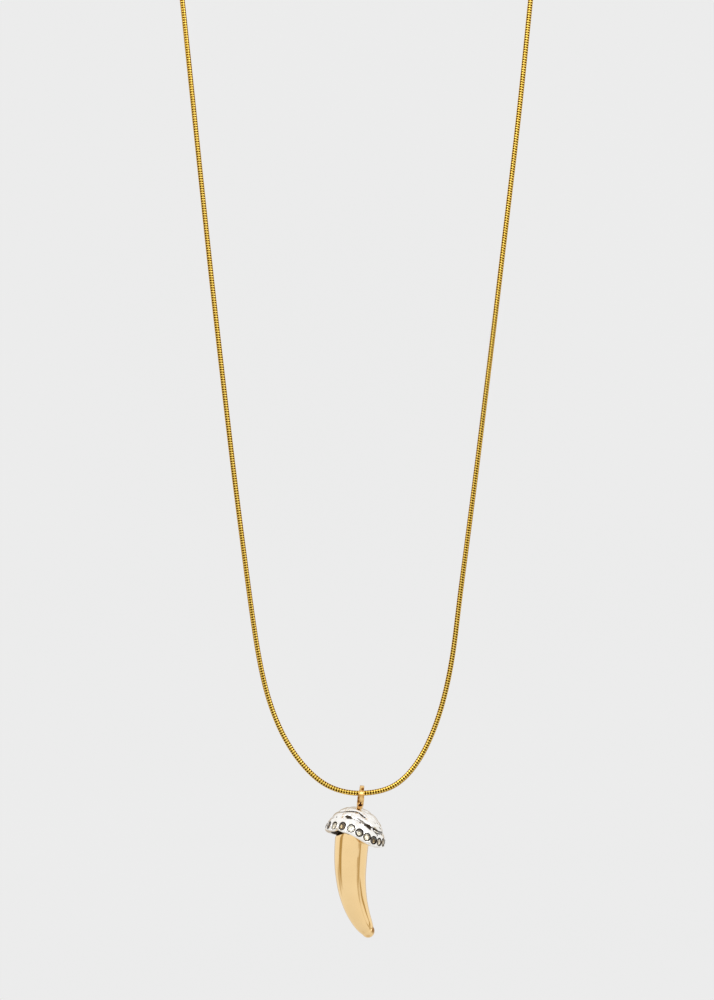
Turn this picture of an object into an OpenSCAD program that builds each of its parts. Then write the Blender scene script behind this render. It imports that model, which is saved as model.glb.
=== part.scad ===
// Cornicello horn pendant on a round snake chain, hanging from the top of its loop.
// Millimetres, +Z up. The loop lies in the XZ plane and its front faces -Y.
// The origin is the underside of the barrel clasp, where a nape or a hook carries the loop.

/* [Chain] */
// Diameter of the round snake chain
chain_d = 1.2; // [0.9:0.05:1.3]

/* [Clasp] */
// Diameter of the barrel clasp
clasp_d = 3; // [2.6:0.1:3.6]
// Length of the barrel clasp
clasp_len = 14; // [12:0.5:16]
// Length of the rounded shoulder at each end of the barrel
clasp_shoulder = 2.5; // [1:0.1:4]

/* [Bail] */
// Thickness of the ring, measured outwards from its hole
bail_wire = 1.05; // [0.9:0.05:1.3]
// Diameter of the hole in the ring
bail_bore = 2.9; // [2.6:0.1:3.4]
// Width of the ring at its foot
bail_foot_w = 1.55; // [1.3:0.05:1.8]
// Height of the foot below the ring
bail_foot_h = 0.05; // [0.05:0.05:0.4]
// Lean of the ring, its top to the right
bail_lean = 6; // [0:1:12]
// Diameter of the hidden peg below the foot
peg_d = 1; // [0.8:0.05:1.2]
// Length of the hidden peg
peg_len = 1.4; // [1:0.1:1.8]

/* [Cap] */
// Diameter of the cap at its rim
cap_d = 14.1; // [13:0.1:16]
// Height of the cap from rim to crown
cap_h = 7.8; // [7:0.1:8.5]
// Thickness of the wall at the rim
cap_wall = 1.45; // [1.2:0.05:1.8]
// Depth of the open mouth round the horn
mouth_deep = 2.4; // [1.5:0.1:3]
// Lean of the cap, its crown to the right
cap_lean = 18; // [10:1:24]
// Tilt of the cap, its crown to the back
cap_back = 4; // [0:1:10]
// Distance of the crown from the cap's middle, to the left
crown_shift = 0.8; // [0:0.1:1.2]
// Height of the arch in the rim, at the front left
rim_arch = 1.3; // [0:0.05:1.4]
// Height of the turn-up in the rim, at the right
rim_turn_up = 0.5; // [0:0.05:0.6]
// Depth of the grooves worked into the crown
groove_deep = 0.28; // [0.1:0.02:0.4]

/* [Stones] */
// Number of stones round the rim
stone_count = 20; // [16:1:20]
// Diameter of one stone
stone_d = 1.6; // [1.2:0.05:1.8]
// Height of the stones' centres above the rim
stone_up = 1.6; // [1.3:0.05:1.8]

/* [Horn] */
// Length of the horn along its curve, from its hidden root to its tip
horn_len = 27.8; // [25:0.1:31]
// Width of the horn below the cap
horn_d = 7.75; // [7:0.05:8.2]
// Radius of the blunt tip
tip_r = 1.5; // [1:0.05:1.8]
// Depth of the horn, front to back, as a share of its width
horn_flat = 0.93; // [0.8:0.01:1]
// Lean of the root, away from straight down, to the right
horn_lean = -5.5; // [-12:0.5:0]
// Bend of the horn from root to tip
horn_bend = 45.5; // [30:0.5:50]
// Tilt of the horn, its tip to the back
horn_back = -2; // [-4:0.5:4]

/* [Fit] */
// Gap between the chain and the top of the bail's hole
bail_gap = 0.15; // [0.1:0.05:0.3]
// Gap round the chain's ends, the peg, the stones and the horn's root
seat_gap = 0.08; // [0.05:0.01:0.12]

/* [Hidden] */
STONES = [for (i = [1 : stone_count]) str("stone_", i < 10 ? "0" : "", i)];

// The chain's route, from the clasp's right end down to the bail and up to its left end:
// the points that a smooth curve follows, as [x, height above the bottom of the loop].
route = [
    [5.5, 263], [14.5, 261.9], [23.7, 256.7], [31.8, 249.7], [38.1, 240.9], [42.5, 230.3],
    [44, 219.2], [42.5, 205.6], [40, 182.2], [37.8, 159.3], [35.1, 136.3], [32.4, 113.3],
    [29.6, 90.2], [26.8, 67.6], [23.6, 43.8], [22.4, 32.4], [20.4, 22.2], [17.7, 13.7],
    [13.8, 6.2], [9, 1.4], [3.4, 0], [-2.2, 0], [-7.8, 2], [-12.9, 7], [-16.8, 13],
    [-19.8, 20], [-22, 28.6], [-23.8, 39.5], [-27.5, 67.8], [-30.1, 90.2], [-32.8, 113.4],
    [-35.2, 136.3], [-37.6, 159.3], [-40, 182.2], [-42.5, 205.6], [-44, 219.2],
    [-42.5, 230.3], [-38.1, 240.9], [-31.8, 249.7], [-23.7, 256.7], [-14.5, 261.9],
    [-5.5, 263]
];
// Where the bail hangs, counted in points along the route
bail_at = 20.4;
chain_sides = 8;
chain_step = 0.5;
foot_z = clasp_d / 2 - route[0][1];

function last(list) = list[len(list) - 1];
function unit(v) = v / norm(v);

// A smooth curve through the middle of four neighbouring points.
function blend(a, b, c, d, t) =
    (a * pow(1 - t, 3) + b * (3 * pow(t, 3) - 6 * t * t + 4)
        + c * (-3 * pow(t, 3) + 3 * t * t + 3 * t + 1) + d * pow(t, 3)) / 6;
guide = concat([2 * route[0] - route[1]], route, [2 * last(route) - route[len(route) - 2]]);
function route_at(u) =
    let (i = min(floor(u), len(route) - 2), t = u - i)
    blend(guide[i], guide[i + 1], guide[i + 2], guide[i + 3], t);
function route_way(u) = unit(route_at(min(u + 0.05, len(route) - 1)) - route_at(max(u - 0.05, 0)));

// Faces of a skin of rows of n points each, closed at both ends.
function skin_faces(rows, n) = concat(
    [[for (j = [0 : n - 1]) j]],
    [for (i = [0 : rows - 2], j = [0 : n - 1])
        let (a = i * n + j, b = i * n + (j + 1) % n) [a, a + n, b + n, b]],
    [[for (j = [n - 1 : -1 : 0]) (rows - 1) * n + j]]
);

// Turns of a vector about X and about Y.
function turn_x(v, a) = [v.x, v.y * cos(a) - v.z * sin(a), v.y * sin(a) + v.z * cos(a)];
function turn_y(v, a) = [v.x * cos(a) + v.z * sin(a), v.y, -v.x * sin(a) + v.z * cos(a)];

// The place of the pendant: the hinge is the chain's own centre line inside the bail.
hinge = [route_at(bail_at).x, 0, route_at(bail_at).y + foot_z];
bail_drop = bail_bore / 2 - chain_d / 2 - bail_gap;
ring_centre = hinge + turn_y([0, 0, -bail_drop], bail_lean);
foot_low = bail_bore / 2 + bail_wire + bail_foot_h;
foot_point = ring_centre + turn_y([0, 0, -foot_low], bail_lean);

// The bail stands close to the cap's crown, a little to the front and left of it.
cap_r = cap_d / 2;
bail_seat = [-0.042 * cap_r, -0.064 * cap_r];
crown_z = cap_h * sqrt(1 - pow(norm(bail_seat) / cap_r, 2));
function shifted(z) = -crown_shift * z / cap_h;
function cap_turn(v) = turn_y(turn_x(v, -cap_back), cap_lean);
cap_origin = foot_point
    - cap_turn([bail_seat.x + shifted(crown_z), bail_seat.y, crown_z + seat_gap]);

// The horn's root lies left of the cap's axis, below the crown.
horn_root = cap_origin + cap_turn([-0.213 * cap_r, 0, 0.598 * cap_h]);

// CHAIN: one plain tube along the route
module chain() {
    us = [for (u = [0 : chain_step : len(route) - 1]) u];
    pts = [for (u = us, k = [0 : chain_sides - 1])
        let (
            p = route_at(u),
            way = route_way(u),
            a = 360 * (k + 0.5) / chain_sides,
            out = chain_d / 2 * cos(a),
            side = chain_d / 2 * sin(a)
        )
        [p.x + way.y * out, side, p.y + foot_z - way.x * out]];
    color("goldenrod") polyhedron(pts, skin_faces(len(us), chain_sides), convexity = 6);
}

// CLASP: one plain barrel with a socket for each end of the chain
module clasp() {
    r = clasp_d / 2;
    mouth_r = chain_d / 2 + seat_gap;
    neck_r = mouth_r + 0.25;
    half = clasp_len / 2;
    socket = half - route[0].x + seat_gap;
    color("gold") translate([0, 0, r]) rotate([0, 90, 0]) difference() {
        rotate_extrude($fn = 64) polygon([
            [0, -half], [neck_r, -half],
            [r * 0.82, -half + clasp_shoulder * 0.4],
            [r, -half + clasp_shoulder],
            [r, half - clasp_shoulder],
            [r * 0.82, half - clasp_shoulder * 0.4],
            [neck_r, half], [0, half]
        ]);
        for (side = [0, 1]) mirror([0, 0, side])
            translate([0, 0, half - socket]) cylinder(h = socket + 1, r = mouth_r, $fn = 32);
    }
}

// BAIL: a ring that widens downwards to a split foot, with a peg into the cap
module bail() {
    wire = bail_wire / 2;
    ring_r = bail_bore / 2 + wire;
    half_w = bail_foot_w / 2;
    corner = wire * 0.8;
    corner_steps = 4;
    // The ring's section, a rounded block as wide as the foot
    section = [for (q = [0 : 3], k = [0 : corner_steps])
        let (
            a = q * 90 + k * 90 / corner_steps,
            mid = [(q == 0 || q == 3 ? 1 : -1) * (wire - corner), (q < 2 ? 1 : -1) * (half_w - corner)]
        )
        [ring_r, 0] + mid + corner * [cos(a), sin(a)]];
    top = ring_r + wire + 1;
    // The split is a deep notch in the front and in the back, with a web between them
    split_web = 0.4;
    gap_w = 0.52 * bail_foot_w;
    gap_top = -0.88 * bail_bore / 2;
    gap_low = -(bail_bore / 2 + 0.64 * bail_wire);
    color("peru") translate(ring_centre) rotate([0, bail_lean, 0]) {
        difference() {
            union() {
                intersection() {
                    rotate([0, 90, 0]) rotate_extrude($fn = 64) polygon(section);
                    // Sides that close in from the foot's width to the wire's at the top
                    rotate([90, 0, 0]) linear_extrude(height = 4 * ring_r, center = true) polygon([
                        [-half_w - 0.1, -top], [half_w + 0.1, -top], [half_w + 0.02, -wire],
                        [wire, ring_r * 0.7], [wire * 0.9, top], [-wire * 0.9, top],
                        [-wire, ring_r * 0.7], [-half_w - 0.02, -wire]
                    ]);
                }
                translate([0, 0, -foot_low]) cylinder(h = bail_foot_h + wire, r = half_w * 0.92, $fn = 32);
                translate([0, 0, -foot_low - peg_len]) cylinder(h = peg_len + wire, r = peg_d / 2, $fn = 32);
            }
            for (side = [0, 1]) mirror([0, side, 0])
                translate([0, -split_web / 2, 0]) rotate([90, 0, 0]) linear_extrude(height = 2 * ring_r)
                    polygon([[-gap_w / 2, gap_low], [gap_w / 2, gap_low], [0, gap_top]]);
        }
    }
}

// The cap's surface. Azimuth 0 is its front and 90 its right, and rise runs from 0 at the
// rim to 1 at the crown.
arch_at = -18;
arch_w = 36;
turn_up_at = 95;
turn_up_w = 28;
function gauss(x) = exp(-x * x);
function around(a) = a - 360 * round(a / 360);
function rim_lift(azimuth, rise = 0) = (1 - rise) * (
    rim_arch * gauss(around(azimuth - arch_at) / arch_w)
        + rim_turn_up * gauss(around(azimuth - turn_up_at) / turn_up_w)
);

// The worked grooves: each runs round the crown at its own rise and wanders up and down.
// Columns: rise, wander, number of waves, azimuth of the first wave, strength, where it is deepest
grooves = [
    [0.325, 0.035, 2, 0, 1, 20],
    [0.52, 0.05, 2, -8, 0.9, 0],
    [0.74, 0.03, 3, 30, 0.6, 120]
];
function groove_rise(g) = g[0];
function groove_wander(g) = g[1];
function groove_waves(g) = g[2];
function groove_start(g) = g[3];
function groove_strength(g) = g[4];
function groove_deepest(g) = g[5];
groove_w = 0.055;
function groove_cut(g, azimuth, rise) =
    groove_strength(g) * (0.7 + 0.3 * cos(azimuth - groove_deepest(g)))
        * gauss((rise - groove_rise(g)
            - groove_wander(g) * cos(groove_waves(g) * (azimuth - groove_start(g)))) / groove_w);
function worked(azimuth, rise, i = 0) =
    i == len(grooves) ? 0 : groove_cut(grooves[i], azimuth, rise) + worked(azimuth, rise, i + 1);

function dome_r(rise) = cap_r * cos(90 * rise);
function dome_z(rise) = cap_h * sin(90 * rise);
function dome_out(rise) = unit([cap_h * cos(90 * rise), cap_r * sin(90 * rise)]);
function dome_point(azimuth, rise) =
    let (
        cut = groove_deep * worked(azimuth, rise),
        r = dome_r(rise) - cut * dome_out(rise)[0],
        z = dome_z(rise) - cut * dome_out(rise)[1]
    )
    [r * sin(azimuth) + shifted(z), -r * cos(azimuth), z + rim_lift(azimuth, rise)];

// The solid dome before it is hollowed, its lower edge rounded
// Columns of the edge: inset from the rim, height above it
edge = [[0.45, 0], [0.14, 0.1]];
first_rise = 0.035;
last_rise = 0.975;
module dome(cols = 72, rows = 30) {
    skin = concat(
        [for (e = edge, j = [0 : cols - 1])
            let (azimuth = 360 * j / cols, r = cap_r - e[0])
            [r * sin(azimuth), -r * cos(azimuth), e[1] + rim_lift(azimuth)]],
        [for (i = [0 : rows - 1], j = [0 : cols - 1])
            dome_point(360 * j / cols, first_rise + (last_rise - first_rise) * i / (rows - 1))]
    );
    all = concat(skin, [[0, 0, 0], [shifted(cap_h), 0, cap_h]]);
    n_rows = rows + len(edge);
    low = len(skin);
    top = low + 1;
    faces = concat(
        [for (j = [0 : cols - 1]) [low, j, (j + 1) % cols]],
        [for (i = [0 : n_rows - 2], j = [0 : cols - 1], half = [0, 1])
            let (a = i * cols + j, b = i * cols + (j + 1) % cols)
            half == 0 ? [a, a + cols, b] : [b, a + cols, b + cols]],
        [for (j = [0 : cols - 1])
            [top, (n_rows - 1) * cols + (j + 1) % cols, (n_rows - 1) * cols + j]]
    );
    polyhedron(all, faces, convexity = 6);
}

// The stones' places on the dome, with +Z pointing outwards
stone_first = 2.5;
// The spacing is a little uneven, tighter to the right
stone_wander = 2.5;
stone_wander_at = 10;
girdle_sunk = 0.1;
function stone_azimuth(i) =
    let (even = stone_first + i * 360 / stone_count)
    even + stone_wander * cos(2 * (even + stone_wander_at));
stone_rise = asin(stone_up / cap_h) / 90;
stone_tip = atan2(dome_out(stone_rise)[1], dome_out(stone_rise)[0]);
module at_stone(i) {
    azimuth = stone_azimuth(i);
    height = stone_up + rim_lift(azimuth, stone_rise);
    translate(cap_origin) rotate([-cap_back, cap_lean, 0])
        translate([shifted(stone_up), 0, 0]) rotate([0, 0, azimuth - 90])
            translate([dome_r(stone_rise), 0, height]) rotate([0, 90 - stone_tip, 0])
                translate([0, 0, -girdle_sunk]) children();
}

crown_h = 0.15 * stone_d;
culet_h = 0.42 * stone_d;
girdle_h = 0.04 * stone_d;
// How far a seat's cut reaches outwards, clear of the surface
seat_proud = 1;
module seat(i) {
    seat_r = stone_d / 2 + seat_gap;
    low = culet_h + seat_gap;
    at_stone(i) rotate_extrude($fn = 24) polygon([
        [0, -low], [0.1, -low], [seat_r, -girdle_h / 2 - seat_gap], [seat_r, seat_proud],
        [0, seat_proud]
    ]);
}

// Where the horn's root enters, with +Z pointing up along the root
module at_root() translate(horn_root) rotate([horn_back, -horn_lean, 0]) children();

// The horn's socket, cut a little wider than its stem and widening round its shoulder
module socket() {
    stem_r = horn_table[1][1] * horn_d / 2 + seat_gap;
    stem_low = -horn_table[1][0] * horn_run;
    body_r = horn_d / 2 + 2 * seat_gap;
    at_root() rotate_extrude($fn = 48) polygon([
        [0, seat_gap], [stem_r, seat_gap], [stem_r, stem_low], [body_r, stem_low],
        [body_r, -cap_h], [0, -cap_h]
    ]);
}

// The hole for the bail's peg
module peg_hole() {
    deep = foot_low + peg_len + seat_gap;
    translate(ring_centre) rotate([0, bail_lean, 0]) translate([0, 0, -deep])
        cylinder(h = peg_len + 2, r = peg_d / 2 + seat_gap, $fn = 24);
}

// CAP: a silver crown with an open mouth, a socket for the horn and the stones' seats
mouth_taper = 0.32;
mouth_proud = 1;
module cap() {
    mouth_r = cap_r - cap_wall;
    color("silver") difference() {
        translate(cap_origin) rotate([-cap_back, cap_lean, 0]) difference() {
            dome();
            translate([0, 0, -mouth_proud]) cylinder(
                h = mouth_proud + mouth_deep,
                r1 = mouth_r + mouth_taper * mouth_proud,
                r2 = mouth_r - mouth_taper * mouth_deep,
                $fn = 64
            );
        }
        socket();
        peg_hole();
        for (i = [0 : stone_count - 1]) seat(i);
    }
}

// STONE: a round cut stone with a table, 24 crown facets and 16 below
module stone(i) {
    r = stone_d / 2;
    table_r = 0.56 * r;
    cut = 16;
    ring = [for (k = [0 : cut - 1]) [r * cos(360 * k / cut), r * sin(360 * k / cut)]];
    pts = concat(
        [for (k = [0 : cut / 2 - 1]) [table_r * cos(720 * k / cut), table_r * sin(720 * k / cut), crown_h]],
        [for (p = ring) [p.x, p.y, girdle_h / 2]],
        [for (p = ring) [p.x, p.y, -girdle_h / 2]],
        [[0, 0, -culet_h]]
    );
    t = cut / 2;
    faces = concat(
        [[for (k = [t - 1 : -1 : 0]) k]],
        [for (k = [0 : t - 1]) [k, t + 2 * k, t + (2 * k + cut - 1) % cut]],
        [for (k = [0 : t - 1]) [k, t + 2 * k + 1, t + 2 * k]],
        [for (k = [0 : t - 1]) [k, (k + 1) % t, t + 2 * k + 1]],
        [for (k = [0 : cut - 1]) [t + k, t + (k + 1) % cut, t + cut + (k + 1) % cut, t + cut + k]],
        [for (k = [0 : cut - 1]) [t + cut + k, t + cut + (k + 1) % cut, t + 2 * cut]]
    );
    color("tan") at_stone(i) rotate([0, 0, 11]) polyhedron(pts, faces);
}

// HORN: its widths along its run, a hidden stem, a round shoulder and the taper to the tip
// Columns: share of the run, share of the width
horn_run = horn_len - tip_r;
horn_table = [
    [0, 0.6], [0.084, 0.62], [0.102, 0.73], [0.118, 0.88], [0.14, 0.967], [0.17, 1.005],
    [0.31, 0.975], [0.406, 0.942], [0.511, 0.884], [0.631, 0.817], [0.731, 0.742],
    [0.82, 0.665], [0.908, 0.566], [0.956, 0.492], [1, 2 * tip_r / horn_d]
];
function row_slope(i) =
    let (a = horn_table[max(i - 1, 0)], b = horn_table[min(i + 1, len(horn_table) - 1)])
    (b[1] - a[1]) / (b[0] - a[0]);
function row_of(share, i = 0) =
    i + 2 >= len(horn_table) || share <= horn_table[i + 1][0] ? i : row_of(share, i + 1);
function width_at(share) =
    let (
        i = row_of(share),
        a = horn_table[i],
        b = horn_table[i + 1],
        gap = b[0] - a[0],
        t = (share - a[0]) / gap
    )
    a[1] * (2 * t * t * t - 3 * t * t + 1) + b[1] * (3 * t * t - 2 * t * t * t)
        + gap * row_slope(i) * (t * t * t - 2 * t * t + t) + gap * row_slope(i + 1) * (t * t * t - t * t);
function horn_r(s) =
    s <= horn_run ? horn_d / 2 * width_at(s / horn_run)
    : sqrt(max(tip_r * tip_r - pow(s - horn_run, 2), 0));
// The root runs straight inside the cap, and the bend grows towards the tip.
straight = 0.116 * horn_len;
bend_growth = 1.77;
function horn_angle(s) =
    horn_lean + horn_bend * pow(max(s - straight, 0) / (horn_len - straight), bend_growth);
function next_on_spine(p, stations, i) =
    let (
        near = stations[i],
        far = stations[min(i + 1, len(stations) - 1)],
        a = horn_angle((near + far) / 2)
    )
    p + (far - near) * [sin(a), -cos(a)];
function depth_share(s) = 1 - (1 - horn_flat) * min(s / (0.3 * horn_len), 1);

// HORN: rings of the round section along the bending spine
module horn(sides = 28, rings = 38) {
    stations = [for (i = [0 : rings]) horn_len * (1 - pow(1 - i / rings, 1.35)) * 0.9985];
    spine = [for (i = 0, p = [0, 0]; i <= rings; p = next_on_spine(p, stations, i), i = i + 1) p];
    pts = [for (i = [0 : rings], k = [0 : sides - 1])
        let (
            s = stations[i],
            a = horn_angle(s),
            r = horn_r(s),
            turn = -360 * k / sides,
            out = r * cos(turn)
        )
        [spine[i].x + out * cos(a), r * depth_share(s) * sin(turn), spine[i].y + out * sin(a)]];
    color("navajowhite") translate(horn_root) rotate([horn_back, 0, 0])
        polyhedron(pts, skin_faces(rings + 1, sides), convexity = 4);
}

chain();
clasp();
bail();
cap();
horn();
for (i = [0 : stone_count - 1]) stone(i);
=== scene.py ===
import bpy, math, random
import numpy as np
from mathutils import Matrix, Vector


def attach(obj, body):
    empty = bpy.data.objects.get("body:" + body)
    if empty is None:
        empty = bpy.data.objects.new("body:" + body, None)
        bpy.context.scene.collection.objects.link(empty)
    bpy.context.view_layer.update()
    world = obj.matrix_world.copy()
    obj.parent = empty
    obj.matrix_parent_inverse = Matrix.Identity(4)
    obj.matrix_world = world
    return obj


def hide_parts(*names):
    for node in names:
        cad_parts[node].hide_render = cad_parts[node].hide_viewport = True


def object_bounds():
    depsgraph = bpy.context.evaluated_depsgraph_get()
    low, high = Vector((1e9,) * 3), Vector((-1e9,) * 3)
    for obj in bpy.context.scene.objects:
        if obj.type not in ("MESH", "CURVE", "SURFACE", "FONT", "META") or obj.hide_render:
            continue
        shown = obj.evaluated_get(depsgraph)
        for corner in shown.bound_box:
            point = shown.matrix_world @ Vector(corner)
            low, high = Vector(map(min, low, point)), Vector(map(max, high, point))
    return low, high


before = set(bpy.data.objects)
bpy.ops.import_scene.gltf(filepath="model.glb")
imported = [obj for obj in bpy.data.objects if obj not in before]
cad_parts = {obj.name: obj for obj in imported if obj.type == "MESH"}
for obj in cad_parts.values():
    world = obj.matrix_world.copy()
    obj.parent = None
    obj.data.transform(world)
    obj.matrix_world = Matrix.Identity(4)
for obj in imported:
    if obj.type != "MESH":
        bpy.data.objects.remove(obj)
cad_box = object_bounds()
MM = 0.001

# sizes, as in part.scad, in mm
chain_d = 1.2
clasp_d, clasp_len, clasp_shoulder = 3.0, 14.0, 2.5
bail_wire, bail_bore, bail_foot_h, bail_lean = 1.05, 2.9, 0.05, 6.0
cap_d, cap_h, cap_wall, mouth_deep = 14.1, 7.8, 1.45, 2.4
cap_lean, cap_back, crown_shift = 18.0, 4.0, 0.8
rim_arch, arch_at, arch_w = 1.3, -18, 36
rim_turn_up, turn_up_at, turn_up_w = 0.5, 95, 28
stone_count, stone_d, stone_up = 20, 1.6, 1.6
horn_len, horn_d, tip_r, horn_flat = 27.8, 7.75, 1.5, 0.93
horn_lean, horn_bend, horn_back = -5.5, 45.5, -2.0
bail_gap, seat_gap = 0.15, 0.08
route = [
    (5.5, 263), (14.5, 261.9), (23.7, 256.7), (31.8, 249.7), (38.1, 240.9), (42.5, 230.3),
    (44, 219.2), (42.5, 205.6), (40, 182.2), (37.8, 159.3), (35.1, 136.3), (32.4, 113.3),
    (29.6, 90.2), (26.8, 67.6), (23.6, 43.8), (22.4, 32.4), (20.4, 22.2), (17.7, 13.7),
    (13.8, 6.2), (9, 1.4), (3.4, 0), (-2.2, 0), (-7.8, 2), (-12.9, 7), (-16.8, 13),
    (-19.8, 20), (-22, 28.6), (-23.8, 39.5), (-27.5, 67.8), (-30.1, 90.2), (-32.8, 113.4),
    (-35.2, 136.3), (-37.6, 159.3), (-40, 182.2), (-42.5, 205.6), (-44, 219.2),
    (-42.5, 230.3), (-38.1, 240.9), (-31.8, 249.7), (-23.7, 256.7), (-14.5, 261.9), (-5.5, 263),
]
bail_at = 20.4
foot_z = clasp_d / 2 - route[0][1]

# the photograph, in its pixels, and the place in it of the chain's lowest point
photo_w, photo_h = 714, 1000
foot_px = (356.3, 793.55)
mm_per_px = 0.23


def sind(a):
    return np.sin(np.radians(a))


def cosd(a):
    return np.cos(np.radians(a))


def gauss(x):
    return np.exp(-x * x)


def smooth(x, lo, hi):
    """0 below lo and 1 above hi, with a soft rise between."""
    t = np.clip((x - lo) / (hi - lo), 0, 1)
    return t * t * (3 - 2 * t)


def around(a):
    """The same angle between -180 and 180 degrees."""
    return a - 360 * np.round(a / 360)


def turn_x(v, a):
    x, y, z = v[..., 0], v[..., 1], v[..., 2]
    return np.stack([x, y * cosd(a) - z * sind(a), y * sind(a) + z * cosd(a)], -1)


def turn_y(v, a):
    x, y, z = v[..., 0], v[..., 1], v[..., 2]
    return np.stack([x * cosd(a) + z * sind(a), y, -x * sind(a) + z * cosd(a)], -1)


def add_object(name, data):
    ob = bpy.data.objects.new(name, data)
    bpy.context.scene.collection.objects.link(ob)
    return ob


def mesh_object(name, points, faces):
    """A new smooth mesh from points in metres."""
    me = bpy.data.meshes.new(name)
    me.from_pydata(points, [], faces)
    me.update()
    me.polygons.foreach_set("use_smooth", [True] * len(me.polygons))
    return add_object(name, me)


def mesh_piece(name, points_mm, faces):
    """A new piece from points in millimetres, kept inside the CAD box."""
    points = np.clip(np.asarray(points_mm) * MM, *np.array(cad_box))
    return mesh_object(name, points.tolist(), faces)


def grid_faces(rows, cols):
    """Quads of a grid whose columns close round."""
    out = []
    for i in range(rows - 1):
        a, b = i * cols, (i + 1) * cols
        for j in range(cols):
            k = (j + 1) % cols
            out.append((a + j, a + k, b + k, b + j))
    return out


def closed_faces(rows, cols):
    """The same with a flat face over each end."""
    last = (rows - 1) * cols
    return grid_faces(rows, cols) + [tuple(reversed(range(cols))), tuple(range(last, last + cols))]


def paint(ob, name, values):
    """A number for each vertex, which a material reads."""
    layer = ob.data.attributes.new(name, "FLOAT", "POINT")
    layer.data.foreach_set("value", np.asarray(values, dtype=np.float32).ravel())


# the chain's route, a smooth curve guided by its points
route_points = np.array(route, float)
before_first = 2 * route_points[0] - route_points[1]
after_last = 2 * route_points[-1] - route_points[-2]
guide = np.vstack([before_first, route_points, after_last])


def route_at(u):
    """The point at u, counted in points of the route, on a cubic B-spline."""
    u = np.atleast_1d(np.asarray(u, float))
    i = np.minimum(np.floor(u).astype(int), len(route) - 2)
    t = (u - i)[:, None]
    a, b, c, d = guide[i], guide[i + 1], guide[i + 2], guide[i + 3]
    return (a * (1 - t) ** 3 + b * (3 * t**3 - 6 * t * t + 4)
            + c * (-3 * t**3 + 3 * t * t + 3 * t + 1) + d * t**3) / 6


route_steps = 8000
fine_points = route_at(np.linspace(0, len(route) - 1, route_steps + 1))
fine_run = np.concatenate([[0], np.cumsum(np.linalg.norm(np.diff(fine_points, axis=0), axis=1))])
chain_run = fine_run[-1]
way_reach = 0.4


def along(s):
    """Point and unit way of the chain's centre line at a distance along it."""
    s = np.asarray(s, float)
    here, ahead, behind = [
        np.stack([np.interp(s + step, fine_run, fine_points[:, k]) for k in (0, 1)], -1)
        for step in (0, way_reach, -way_reach)
    ]
    way = ahead - behind
    return here, way / np.linalg.norm(way, axis=-1, keepdims=True)


hinge = np.array([route_at(bail_at)[0][0], 0, route_at(bail_at)[0][1] + foot_z])
bail_drop = bail_bore / 2 - chain_d / 2 - bail_gap
ring_centre = hinge + turn_y(np.array([0, 0, -bail_drop]), bail_lean)
foot_low = bail_bore / 2 + bail_wire + bail_foot_h
foot_point = ring_centre + turn_y(np.array([0, 0, -foot_low]), bail_lean)

# snake chain
# Wavy rings nested one into the next. Along five rows they part into dark slots, and between the
# rows they touch. The rows wind slowly round the chain, and the slots slant.
ring_pitch, bottom_pitch = 0.573, 0.612
bottom_at, bottom_width = 0.503, 0.03
ring_rows, ring_sides = 4, 24
slot_rows = 5
slot_slant = 0.10
groove, slot_deep = 0.02, 0.08
# share of the loop's run: turn of the rows in degrees, and slant of the slots
row_turn = [
    (0, 36), (0.172, 36), (0.24, 30), (0.30, 26), (0.365, 4), (0.39, 0), (0.42, 30), (0.45, 22),
    (0.477, 0), (0.50, 0), (0.515, 28), (0.54, 28), (0.56, 0), (0.60, 4), (0.64, 30), (0.70, 24),
    (0.765, 34), (0.83, 10), (1, 36),
]
slot_way = [
    (0, 0), (0.18, -0.2), (0.23, -0.8), (0.33, -1), (0.38, -0.2), (0.42, -0.8), (0.455, 0.4),
    (0.49, 0), (0.62, 0), (0.68, -0.5), (0.74, -0.5), (0.78, 0), (1, 0),
]


def ring_places():
    """Number of each row of points, counted in rings, and its distance along the chain."""
    # the rings part a little where the chain bends at the bottom
    at_s = np.linspace(0, chain_run, 3001)
    low = gauss((at_s / chain_run - bottom_at) / bottom_width)
    pitch = ring_pitch + (bottom_pitch - ring_pitch) * low
    grow = np.concatenate([[0], np.cumsum(np.diff(at_s) / pitch[1:])])
    count = int(grow[-1])
    turns = np.arange(count * ring_rows + 1) / ring_rows
    return turns, np.interp(turns * grow[-1] / count, grow, at_s)


def build_chain():
    turns, s = ring_places()
    pitch = np.gradient(s) * ring_rows
    share = s / chain_run
    angle = 2 * np.pi * np.arange(ring_sides) / ring_sides
    turn = np.radians(np.interp(share, *zip(*row_turn)))
    slant = np.interp(share, *zip(*slot_way)) * slot_slant
    shift = (slant / pitch)[:, None] * np.sin(2 * angle)[None, :]
    joint = 0.5 + 0.5 * np.cos(2 * np.pi * turns)[:, None]
    slot = 0.5 + 0.5 * np.cos(slot_rows * (angle[None, :] + turn[:, None]))
    radius = chain_d / 2 - joint * (groove + slot_deep * slot)
    point, way = along(np.clip(s[:, None] + shift * pitch[:, None], 0, chain_run))
    side, front = radius * np.sin(angle), radius * np.cos(angle)
    x = point[..., 0] + way[..., 1] * side
    z = point[..., 1] + foot_z - way[..., 0] * side
    points = np.stack([x, -front, z], -1).reshape(-1, 3)
    ob = mesh_piece("snake_chain", points, closed_faces(len(s), ring_sides))
    paint(ob, "turns", np.repeat(turns, ring_sides))
    paint(ob, "side", np.tile(np.sin(angle), len(s)))
    paint(ob, "front", np.tile(np.cos(angle), len(s)))
    paint(ob, "turn", np.repeat(turn, ring_sides))
    return ob


chain = build_chain()

# barrel clasp
clasp_sides = 96
collar_deep = 0.10
parting_deep = 0.13
knurl_count, knurl_deep = 24, 0.045


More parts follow.
